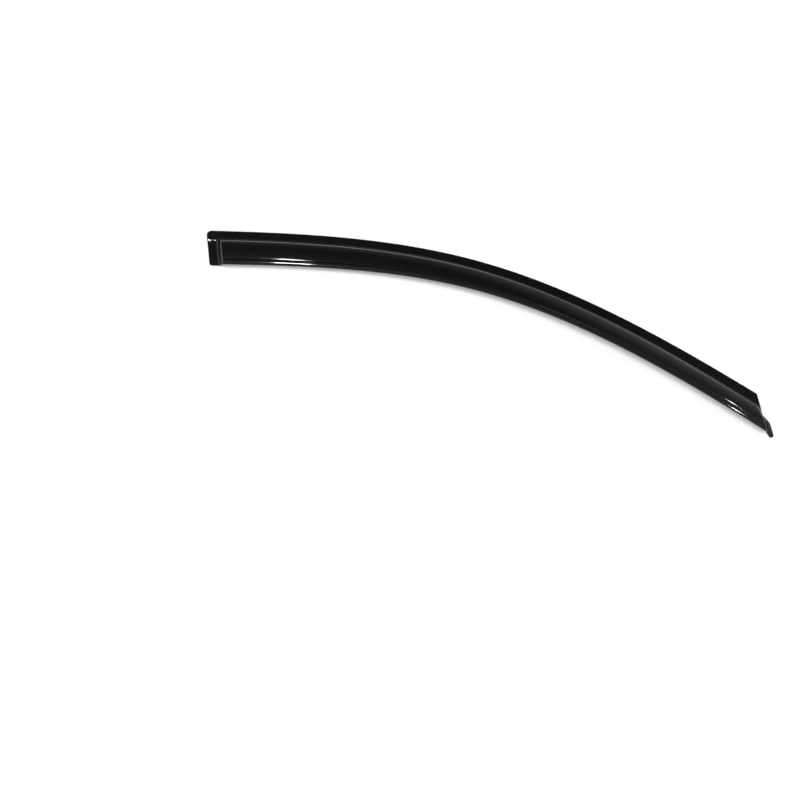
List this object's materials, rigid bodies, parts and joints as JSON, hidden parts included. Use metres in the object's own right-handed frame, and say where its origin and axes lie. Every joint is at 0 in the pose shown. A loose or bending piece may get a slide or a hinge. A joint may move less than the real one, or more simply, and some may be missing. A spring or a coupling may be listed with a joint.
{
  "type": "window rain deflector",
  "caption": "Long curved smoke acrylic rain deflector for a car side window: taped flange, raised shoulder, crowned hood, stepped lip and closed ends with flat tabs.",
  "frame": {"origin": "centre of the outline in plan, at the lowest point of the flange's back", "axes": "+X from the rear end to the front tip, +Y from the free lower edge towards the door frame, +Z out of the car, off the flange"},
  "size_m": [1.0404, 0.1612, 0.0292],
  "materials": {
    "smoke_acrylic": "glossy dark smoke acrylic"
  },
  "bodies": {
    "root": {"deflector_shell": "smoke_acrylic"}
  },
  "joints": []
}
